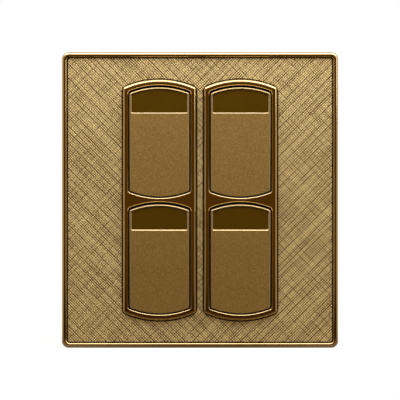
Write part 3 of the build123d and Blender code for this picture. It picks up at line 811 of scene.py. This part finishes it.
class SWITCH_OT_springs(bpy.types.Operator):
    """Model the plunger springs: open coils that move with their rockers"""

    bl_idname = "switch.springs"
    bl_label = "Springs"

    def wound(self, spring):
        """One coil along Y, its wire cut off square at both ends."""
        coil = added(
            "plunger_spring", bpy.ops.mesh.primitive_circle_add,
            vertices=spring.wire_steps, radius=spring.wire, location=(spring.coil, spring.start, 0),
        )
        settle(coil)
        wind(coil, spring.height / spring.turns, spring.turns, spring.turn_steps)
        bpy.ops.mesh.fill_holes(sides=0)
        turn_outwards()
        bpy.ops.object.mode_set(mode="OBJECT")
        bpy.ops.object.shade_smooth_by_angle(angle=math.radians(40))
        return coil

    def execute(self, context):
        spring = context.scene.switch_spring
        steel = toned(context.scene.switch_finish.steel, 0.9)
        first = self.wound(spring)
        first.data.materials.append(
            drawn_metal("spring_steel", steel, stretch=(900, 9000, 900), rough=0.22)
        )
        for gang in GANGS:
            slide = JOINTS[f"plunger_slide_{gang}"]
            pivot = Vector(JOINTS[f"rocker_press_{gang}"]["pos_m"])
            axis = Vector(slide["axis"])
            coil = copied(first, f"{first.name}_{gang}")
            coil.location = pivot
            coil.rotation_euler = (math.atan2(axis.z, axis.y), 0, 0)
            settle(coil)
            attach(coil, f"rocker_{gang}")
            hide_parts(f"spring_{gang}")
            travel = -slide["range_m"][0]
            1 - travel / (spring.height + 2 * spring.wire)
            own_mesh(coil)
        bpy.data.objects.remove(first, do_unlink=True)
        return {"FINISHED"}


class SWITCH_OT_screws(bpy.types.Operator):
    """Model the slotted screws with their threads: twelve clamp screws and four housing screws"""

    bl_idname = "switch.screws"
    bl_label = "Screws"

    def thread(self, screw, tip, end):
        """Threaded shank along Y, from its blunt point to inside the head."""
        shank = added(
            "shank", bpy.ops.mesh.primitive_plane_add,
            size=screw.pitch, location=(screw.shank - screw.thread_depth, tip - screw.pitch, 0),
        )
        settle(shank)
        bpy.ops.object.mode_set(mode="EDIT")
        bpy.ops.mesh.select_all(action="SELECT")
        bpy.ops.mesh.merge(type="CENTER")
        bpy.ops.mesh.select_all(action="SELECT")
        for out, along in FLANKS:
            bpy.ops.mesh.extrude_vertices_move(
                TRANSFORM_OT_translate={"value": (out * screw.thread_depth, along * screw.pitch, 0)}
            )
        bpy.ops.object.mode_set(mode="OBJECT")
        wind(shank, screw.pitch, math.ceil((end - tip) / screw.pitch) + 2, screw.turn_steps)
        for y, cleared in ((tip + screw.point, "clear_inner"), (end, "clear_outer")):
            bpy.ops.mesh.select_all(action="SELECT")
            bpy.ops.mesh.bisect(
                plane_co=(0, y, 0), plane_no=(0, 1, 0), use_fill=True, threshold=TINY, **{cleared: True}
            )
        turn_outwards()
        pick(shank, "FACE", lambda f: f.normal.y < -0.99 and f.calc_center_median().y < tip + 2 * screw.point)
        bpy.ops.mesh.extrude_region_move(TRANSFORM_OT_translate={"value": (0, -screw.point, 0)})
        bpy.ops.transform.resize(value=(POINT_SHARE, 1, POINT_SHARE), center_override=(0, tip, 0))
        bpy.ops.object.mode_set(mode="OBJECT")
        return shank

    def slotted(self, name, screw, radius, height, tip, top):
        """Whole screw along Y, its slotted head facing the back."""
        body = added(
            name, bpy.ops.mesh.primitive_cylinder_add, vertices=screw.head_steps, radius=radius, depth=height,
            location=(0, top - height / 2, 0), rotation=(math.pi / 2, 0, 0),
        )
        settle(body)
        bpy.ops.object.mode_set(mode="EDIT")
        pick(body, "EDGE", lambda e: lies_at(e, top))
        bpy.ops.mesh.bevel(offset=screw.edge, segments=3, affect="EDGES")
        pick(body, "EDGE", lambda e: lies_at(e, top - height))
        bpy.ops.mesh.bevel(offset=screw.edge / 3, segments=1, affect="EDGES")
        bpy.ops.object.mode_set(mode="OBJECT")
        driver = added("driver", bpy.ops.mesh.primitive_cube_add, size=1, location=(0, top, 0))
        driver.scale = (screw.slot, 2 * screw.slot_depth, 3 * radius)
        settle(driver)
        cut(body, driver, "DIFFERENCE")
        cut(body, self.thread(screw, tip, top - height / 2), "UNION")
        only(body)
        bpy.ops.object.shade_smooth_by_angle(angle=math.radians(32))
        return body

    def spread(self, first, places, turns, node, zinc):
        """Copies a screw to its places, each turned as its driver left it."""
        first.data.materials.clear()
        first.data.materials.append(zinc)
        for count, (x, z) in enumerate(places):
            screw = copied(first, f"{first.name}_{count + 1}")
            screw.location = (x, 0, z)
            screw.rotation_euler = (0, turns.uniform(0, math.pi), 0)
            settle(screw)
            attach(screw, "base")
            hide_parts(node)
        bpy.data.objects.remove(first, do_unlink=True)

    def execute(self, context):
        screw = context.scene.switch_screw
        steel = context.scene.switch_finish.steel
        zinc = drawn_metal("zinc_screw", steel, stretch=(900, 5200, 900), rough=0.26)
        turns = random.Random(16)
        clamp = self.slotted(
            "clamp_screw", screw, screw.clamp_head, screw.clamp_height, clamp_low.y, clamp_high.y
        )
        clamp_x = clamp_high.x - screw.clamp_head
        row = clamp_high.z - screw.clamp_head - GANG_Z
        clamp_places = [
            (side * clamp_x, level * GANG_Z + step * row)
            for side, level in GANGS.values() for step in (-1, 0, 1)
        ]
        self.spread(clamp, clamp_places, turns, "terminal_screws", zinc)
        fixing = self.slotted(
            "housing_screw", screw, screw.fixing_head, screw.fixing_height, fixing_low.y, fixing_high.y
        )
        outer = fixing_high.z - screw.fixing_head
        fixing_places = [(0, z) for z in (-outer, -screw.inner, screw.inner, outer)]
        self.spread(fixing, fixing_places, turns, "housing_screws", zinc)
        return {"FINISHED"}


class SWITCH_OT_stage(bpy.types.Operator):
    """Set the pale floor, the warm screens around the plate, the soft light, the lamps and the camera"""

    bl_idname = "switch.stage"
    bl_label = "Stage"

    def floor(self, stage):
        """Pale floor that looks white, apart from the switch's shadow."""
        ground = added(
            "floor", bpy.ops.mesh.primitive_plane_add,
            size=FLOOR_WIDTH, location=(0, 0, cad_low.z - FLOOR_DROP),
        )
        settle(ground)
        material, shader, place = start_finish("pale_floor")
        tone = uneven(grain(place, 3), stage.floor, 1, 31 / 30)
        matt = shader.node("ShaderNodeBsdfDiffuse", None, {"Color": tone})
        white = shader.node("ShaderNodeEmission", None, {"Color": (1, 1, 1, 1), "Strength": 1.0})
        far = place.node("ShaderNodeVectorMath", {"operation": "LENGTH"}, {0: place}, output="Value")
        share = (1.0 - SHADOW_SHARE * ramp(far, SHADOW_REACH, 0)) * in_sight(shader)
        both = shader.node("ShaderNodeMixShader", None, {0: share, 1: matt, 2: white})
        shader.node("ShaderNodeOutputMaterial", None, {"Surface": both})
        ground.data.materials.append(material)
        ground.visible_diffuse = False

    def screens(self, stage):
        """Room of glowing screens, open at the back, that only the switch's reflections show."""
        foot = cad_low.z - ROOM_DROP
        top = foot + ROOM_HEIGHT
        card = added(
            "screen", bpy.ops.mesh.primitive_plane_add, size=1,
            location=(0, ROOM_FRONT, (foot + top) / 2), rotation=(math.pi / 2, 0, 0),
        )
        card.scale = (ROOM_WIDTH, ROOM_HEIGHT, 1)
        settle(card)
        bpy.ops.object.mode_set(mode="EDIT")
        bpy.ops.mesh.select_all(action="SELECT")
        bpy.ops.mesh.extrude_edges_move(TRANSFORM_OT_translate={"value": (0, ROOM_DEPTH, 0)})
        bpy.ops.object.mode_set(mode="OBJECT")
        material, shader, place = start_finish("glowing_screen")
        across, behind, height = (place.part(axis) for axis in "XYZ")
        # Brighter high up, brightest beside and behind the plate, and dark on the floor before it
        upper = ramp(height, 0.1, 0.4) * ramp(height, top, top - 0.1)
        below = ramp(height, foot + 0.1, foot) * ramp(behind, -0.6, -0.2)
        beside = ramp(abs(across) + 1.1 * behind, 0, 0.15)
        back = 5 * beside + 1.5 * ramp(behind, -0.06, 0)
        glow = shader.node("ShaderNodeEmission", None, {
            "Color": blend(ramp(back, 0, 3), stage.dusk, stage.tint),
            "Strength": stage.screen * (1 + 1.5 * upper + back - 0.7 * below),
        })
        shader.node("ShaderNodeOutputMaterial", None, {"Surface": glow})
        card.data.materials.append(material)
        card.visible_camera = False
        card.visible_shadow = False
        card.visible_diffuse = False

    def world(self, stage):
        """Soft light from all round, with a white background."""
        world = bpy.data.worlds.new("soft_surround")
        world.use_nodes = True
        world.node_tree.nodes.clear()
        bpy.context.scene.world = world
        shader = Flow(world.node_tree)
        seen = in_sight(shader)
        sky = shader.node("ShaderNodeBackground", None, {
            "Color": blend(seen, stage.tint, (1, 1, 1)),
            "Strength": stage.ambient + (1 - stage.ambient) * seen,
        })
        shader.node("ShaderNodeOutputWorld", None, {"Surface": sky})

    def lamp(self, name, place, aim, extent, power):
        """Soft lamp turned towards a point."""
        lamp = added(name, bpy.ops.object.light_add, type="AREA", location=place)
        lamp.data.shape = "RECTANGLE"
        lamp.data.size, lamp.data.size_y = extent
        lamp.data.energy = power
        lamp.visible_camera = False
        lamp.rotation_euler = (aim - lamp.location).to_track_quat("-Z", "Y").to_euler()

    def execute(self, context):
        stage = context.scene.switch_stage
        self.floor(stage)
        self.screens(stage)
        self.world(stage)
        middle = (cad_low + cad_high) / 2
        middle.y = -stage.rim_depth
        for name, (place, extent) in LAMPS.items():
            self.lamp(name, middle + Vector(place), middle, extent, getattr(stage, name))
        camera = added("camera", bpy.ops.object.camera_add, rotation=(math.pi / 2, 0, 0))
        camera.data.lens = stage.lens
        camera.data.sensor_width = SENSOR
        camera.data.clip_start = 10 * MM
        camera.location = (0, -stage.rim_depth - stage.field * stage.lens / SENSOR, 0)
        context.scene.camera = camera
        context.scene.view_settings.view_transform = "Standard"
        return {"FINISHED"}


class SWITCH_PT_panel(bpy.types.Panel):
    """The switch's pieces, in the sidebar of the 3D view"""

    bl_idname = "SWITCH_PT_panel"
    bl_label = "Four-gang light switch"
    bl_space_type = "VIEW_3D"
    bl_region_type = "UI"
    bl_category = "Switch"

    def draw(self, context):
        for operator in OPERATORS:
            self.layout.operator(operator.bl_idname)
        for settings in SETTINGS:
            group = getattr(context.scene, settings)
            for name in group.__annotations__:
                self.layout.prop(group, name)


SETTINGS = {
    "switch_sheet": SheetSettings,
    "switch_finish": FinishSettings,
    "switch_screw": ScrewSettings,
    "switch_spring": SpringSettings,
    "switch_stage": StageSettings,
}
OPERATORS = (
    SWITCH_OT_sheet,
    SWITCH_OT_plating,
    SWITCH_OT_rockers,
    SWITCH_OT_mouldings,
    SWITCH_OT_metalwork,
    SWITCH_OT_springs,
    SWITCH_OT_screws,
    SWITCH_OT_stage,
)


def register():
    for name, group in SETTINGS.items():
        bpy.utils.register_class(group)
        setattr(bpy.types.Scene, name, PointerProperty(type=group))
    for operator in OPERATORS:
        bpy.utils.register_class(operator)
    bpy.utils.register_class(SWITCH_PT_panel)


def unregister():
    bpy.utils.unregister_class(SWITCH_PT_panel)
    for operator in reversed(OPERATORS):
        bpy.utils.unregister_class(operator)
    for name, group in reversed(SETTINGS.items()):
        delattr(bpy.types.Scene, name)
        bpy.utils.unregister_class(group)


def main():
    register()
    bpy.ops.switch.sheet()
    bpy.ops.switch.plating()
    bpy.ops.switch.rockers()
    bpy.ops.switch.mouldings()
    bpy.ops.switch.metalwork()
    bpy.ops.switch.springs()
    bpy.ops.switch.screws()
    bpy.ops.switch.stage()


if __name__ == "__main__":
    main()
